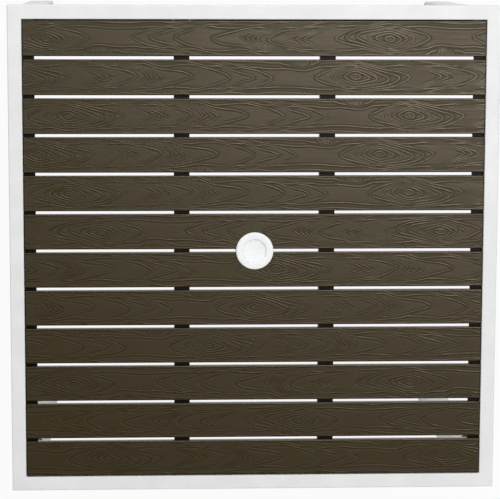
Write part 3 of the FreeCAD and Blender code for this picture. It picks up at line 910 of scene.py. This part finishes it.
def leg_bolt_set():
    """An M6 bolt with its washer and lock nut, at heights above the flange's lower side."""
    around = full_turn(24)
    rod = 3 * MM
    flats = 10 * MM
    side, face = hexagon(flats), chamfered(flats, 4.9 * MM)
    washer_low, nut_low = 8.0 * MM, 9.4 * MM
    bolt = turned("bolt", [
        (-4.0 * MM, 0), (-4.0 * MM, chamfered(flats, 4.7 * MM)),
        (-3.5 * MM, chamfered(flats, 5.5 * MM)), (-3.3 * MM, side), (0, side), (0, rod),
        (9 * MM, rod), *threaded(9.2 * MM, 14.4 * MM, 1 * MM, rod, 0.5 * MM),
        (15 * MM, 2.4 * MM), (15 * MM, 0),
    ], around)
    washer = turned("washer", [
        (washer_low, 3.2 * MM), (washer_low, 5.9 * MM), (8.2 * MM, 6 * MM), (9.2 * MM, 6 * MM),
        (nut_low, 5.9 * MM), (nut_low, 3.2 * MM),
    ], around, closed=True)
    nut = turned("nut", [
        (nut_low, 3.1 * MM), (nut_low, face), (9.8 * MM, side), (12.6 * MM, side),
        (13.1 * MM, face), (13.1 * MM, 4.4 * MM), (14.2 * MM, 4.2 * MM), (14.4 * MM, 3.1 * MM),
    ], around, closed=True)
    return joined("leg_bolt_sets", bolt, washer, nut)


def pan_head_screw(radius):
    """A low pan head with a cross recess, hung under what it holds."""
    def cross(angle):
        return radius * (0.62 if abs(math.cos(2 * angle)) > 0.8 else 0.2)

    return turned("slat_screw", [
        (0, 0), (0, radius), (-0.9 * MM, radius), (-1.8 * MM, radius * 0.9),
        (-2.3 * MM, radius * 0.68), (-2.3 * MM, cross), (-1.2 * MM, cross), (-1.1 * MM, 0),
    ], full_turn(24))


def rivet_head(radius):
    """A flat dome that faces along X."""
    rivet = turned("rivet", [
        (radius * height, radius * reach) for height, reach in (
            (-1, 0), (-0.8, 0.6), (-0.45, 0.9), (0, 1), (0.45, 0.9), (0.8, 0.6), (1, 0),
        )
    ], full_turn(12))
    flattening = 0.4
    rivet.transform(Matrix.Diagonal((flattening, 1, 1, 1)))
    return rivet


def weld_bead(radius):
    """One drop of a weld."""
    return turned("weld_bead", [
        (radius * height, radius * reach)
        for height, reach in ((-1, 0), (-0.7, 0.7), (0, 1), (0.7, 0.7), (1, 0))
    ], full_turn(8))


class PATIO_OT_fasteners(bpy.types.Operator):
    """Makes the leg bolts, slat screws, ledger rivets and leg welds"""
    bl_idname = "patio.fasteners"
    bl_label = "Fasteners"

    def execute(self, context):
        sizes = context.scene.patio_fasteners
        zinc = bpy.data.materials["zinc_plated_steel"]
        black = bpy.data.materials["black_powder_coat"]
        white = bpy.data.materials["white_powder_coat"]
        tree = fastener_rows()
        screw = pan_head_screw(sizes.screw_radius)
        bead = weld_bead(sizes.bead_radius)
        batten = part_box("right_batten")
        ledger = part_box("right_ledger")
        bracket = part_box("batten_brackets")
        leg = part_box("rear_right_leg")
        flange_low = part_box("rear_right_leg_flange")[0].z
        first_low, first_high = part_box("slat_01")
        first_slat = (first_low.y + first_high.y) / 2
        along_slats = (0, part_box("slat_02")[0].y - first_low.y, 0)
        batten_middle = (batten[0].x + batten[1].x) / 2
        ledger_wall, ledger_hole, bracket_hole = 2 * MM, 9 * MM, 16 * MM
        ledger_middle = (ledger[0].z + ledger[1].z) / 2
        # The two bolts of a leg lie on a slant, one near each rail
        head_reach, bolts_apart = 5.77 * MM, 38 * MM
        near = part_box("leg_bolts")[1].x - head_reach
        far = near - bolts_apart
        rivet_reach = 370 * MM
        rivet_step = 2 * rivet_reach / (sizes.rivets - 1)
        # Beads lie a little outside the leg and below its top, and stop short of its corners
        weld_step, weld_out = 1.5 * MM, 0.6 * MM
        weld_start = 2 * weld_step
        weld_count = int((leg[1].y - leg[0].y) / weld_step) - 2
        weld_top = leg[1].z - weld_out
        # Name, fastener, finish, first place, step to the next, number and the CAD nodes replaced
        for name, fastener, finish, start, step, count, nodes in (
            ("leg_bolt_sets", leg_bolt_set(), zinc, (near, far, flange_low),
             (far - near, near - far, 0), 2, ["leg_bolts"]),
            ("batten_screws", screw, zinc, (batten_middle, first_slat, batten[0].z),
             along_slats, len(SLATS), []),
            ("ledger_screws", screw, zinc,
             (ledger[0].x + ledger_hole, first_slat, ledger[1].z - ledger_wall),
             along_slats, len(SLATS), []),
            ("bracket_screws", screw, zinc,
             (batten_middle, bracket[1].y - bracket_hole, bracket[0].z), (0, 0, 0), 1, []),
            ("ledger_rivets", rivet_head(sizes.rivet_radius), black,
             (ledger[1].x - ledger_wall, -rivet_reach, ledger_middle),
             (0, rivet_step, 0), sizes.rivets, []),
            ("leg_side_welds", bead, white, (leg[0].x - weld_out, leg[0].y + weld_start, weld_top),
             (0, weld_step, 0), weld_count, []),
            ("leg_end_welds", bead, white, (leg[0].x + weld_start, leg[0].y - weld_out, weld_top),
             (weld_step, 0, 0), weld_count, []),
        ):
            mesh = grown(
                tree, {"Start": start, "Step": step, "Count": count, "Finish": finish}, fastener,
            )
            piece(name, mesh, finish, "table", nodes)
        return {"FINISHED"}


def studio_tree(owner):
    """An emptied node tree, its camera rays, and its rays from glossy or clear surfaces."""
    owner.use_nodes = True
    tree = owner.node_tree
    tree.nodes.clear()
    path = add(tree, "ShaderNodeLightPath").outputs
    mirrored = add(
        tree, MATH, path["Is Glossy Ray"], path["Is Transmission Ray"], operation="MAXIMUM",
    )
    return tree, path["Is Camera Ray"], mirrored


def white_room(light):
    """A world that is white to the camera and lights the table evenly."""
    world = bpy.data.worlds.new("white_room")
    tree, direct, mirrored = studio_tree(world)
    # Metal and gloss mirror white walls all round under a dark ceiling
    toward = add(tree, "ShaderNodeTexCoord").outputs["Generated"]
    height = add(tree, "ShaderNodeSeparateXYZ", toward).outputs["Z"]
    walls = add(tree, RANGE, height, 0.05, 0.35, 1.0, 0.02)
    around = add(tree, "ShaderNodeMix", mirrored, light, walls, data_type="FLOAT")
    strength = add(tree, "ShaderNodeMix", direct, around, 1.0, data_type="FLOAT")
    room = add(tree, "ShaderNodeBackground", (1, 1, 1, 1), strength)
    add(tree, "ShaderNodeOutputWorld", room)
    return world


def white_floor():
    """Floor paint that shows nearly white to the camera and keeps a faint shadow."""
    material = bpy.data.materials.new("white_floor")
    tree, direct, mirrored = studio_tree(material)
    seen = add(tree, MATH, direct, mirrored, operation="MAXIMUM")
    matt = add(tree, "ShaderNodeBsdfDiffuse", (0.8, 0.8, 0.8, 1))
    glow = add(tree, "ShaderNodeEmission", (1, 1, 1, 1), 1.0)
    glow_share = 0.93
    share = add(tree, MATH, seen, glow_share, operation="MULTIPLY")
    surface = add(tree, "ShaderNodeMixShader", share, matt, glow)
    add(tree, "ShaderNodeOutputMaterial", surface)
    return material


class PATIO_OT_stage(bpy.types.Operator):
    """Sets up the white floor, the soft lights and the camera"""
    bl_idname = "patio.stage"
    bl_label = "Stage"

    def execute(self, context):
        scene = context.scene
        settings = scene.patio_stage
        scene.view_settings.view_transform = "Standard"
        scene.world = white_room(settings.room)

        # The floor lies a hair below the feet
        floor_reach, floor_drop = 8, 0.2 * MM
        shape = bmesh.new()
        bmesh.ops.create_grid(shape, size=floor_reach)
        floor = bpy.data.objects.new("floor", finished("floor", shape))
        floor.location.z = -floor_drop
        floor.data.materials.append(white_floor())
        scene.collection.objects.link(floor)

        middle = Vector((0, 0, 0.7))
        fill = settings.fill_power
        # Name, place and size in metres, power, and whether gloss mirrors the lamp
        for name, place, size, power, mirrored in (
            ("overhead", (0.8, 1.1, 4.0), (2.7, 2.2), settings.key_power, True),
            ("left_side", (-3.4, -1.6, 1.9), (1.8, 1.8), fill, False),
            ("front_side", (1.6, -3.4, 1.7), (1.8, 1.8), fill, False),
            ("rear_side", (-0.6, 3.6, 1.1), (1.8, 1.8), fill * 2, True),
        ):
            lamp = bpy.data.lights.new(name, "AREA")
            lamp.shape = "RECTANGLE"
            lamp.size, lamp.size_y = size
            lamp.energy = power
            holder = bpy.data.objects.new(name, lamp)
            holder.visible_glossy = mirrored
            holder.location = place
            holder.rotation_euler = (middle - Vector(place)).to_track_quat("-Z", "Y").to_euler()
            scene.collection.objects.link(holder)

        camera = bpy.data.cameras.new("photo_camera")
        camera.sensor_width = 36
        camera.lens = settings.lens
        holder = bpy.data.objects.new("photo_camera", camera)
        holder.location = CAMERA_PLACE
        holder.rotation_euler = CAMERA_TURN
        scene.collection.objects.link(holder)
        scene.camera = holder
        return {"FINISHED"}


GROUPS = {
    "patio_slats": SlatSizes,
    "patio_colours": CoatColours,
    "patio_fasteners": FastenerSizes,
    "patio_stage": StageSettings,
}
OPERATORS = (
    PATIO_OT_coats, PATIO_OT_slats, PATIO_OT_gap_shade_strips, PATIO_OT_umbrella_fitting,
    PATIO_OT_levelling_feet, PATIO_OT_fasteners, PATIO_OT_stage,
)


class PATIO_PT_sidebar(bpy.types.Panel):
    """Sizes, colours and steps of the patio table"""
    bl_label = "Patio Table"
    bl_idname = "PATIO_PT_sidebar"
    bl_space_type = "VIEW_3D"
    bl_region_type = "UI"
    bl_category = "Patio Table"

    def draw(self, context):
        for name, group in GROUPS.items():
            box = self.layout.box()
            for size in group.__annotations__:
                box.prop(getattr(context.scene, name), size)
        for operator in OPERATORS:
            self.layout.operator(operator.bl_idname)


CLASSES = (*GROUPS.values(), *OPERATORS, PATIO_PT_sidebar)


def register():
    for cls in CLASSES:
        bpy.utils.register_class(cls)
    for name, group in GROUPS.items():
        setattr(bpy.types.Scene, name, PointerProperty(type=group))


def unregister():
    for name in GROUPS:
        delattr(bpy.types.Scene, name)
    for cls in reversed(CLASSES):
        bpy.utils.unregister_class(cls)


def main():
    """Builds the table's looks step by step."""
    register()
    bpy.ops.patio.coats()
    bpy.ops.patio.slats()
    bpy.ops.patio.edge_strips()
    bpy.ops.patio.umbrella_fitting()
    bpy.ops.patio.levelling_feet()
    bpy.ops.patio.fasteners()
    bpy.ops.patio.stage()


if __name__ == "__main__":
    main()
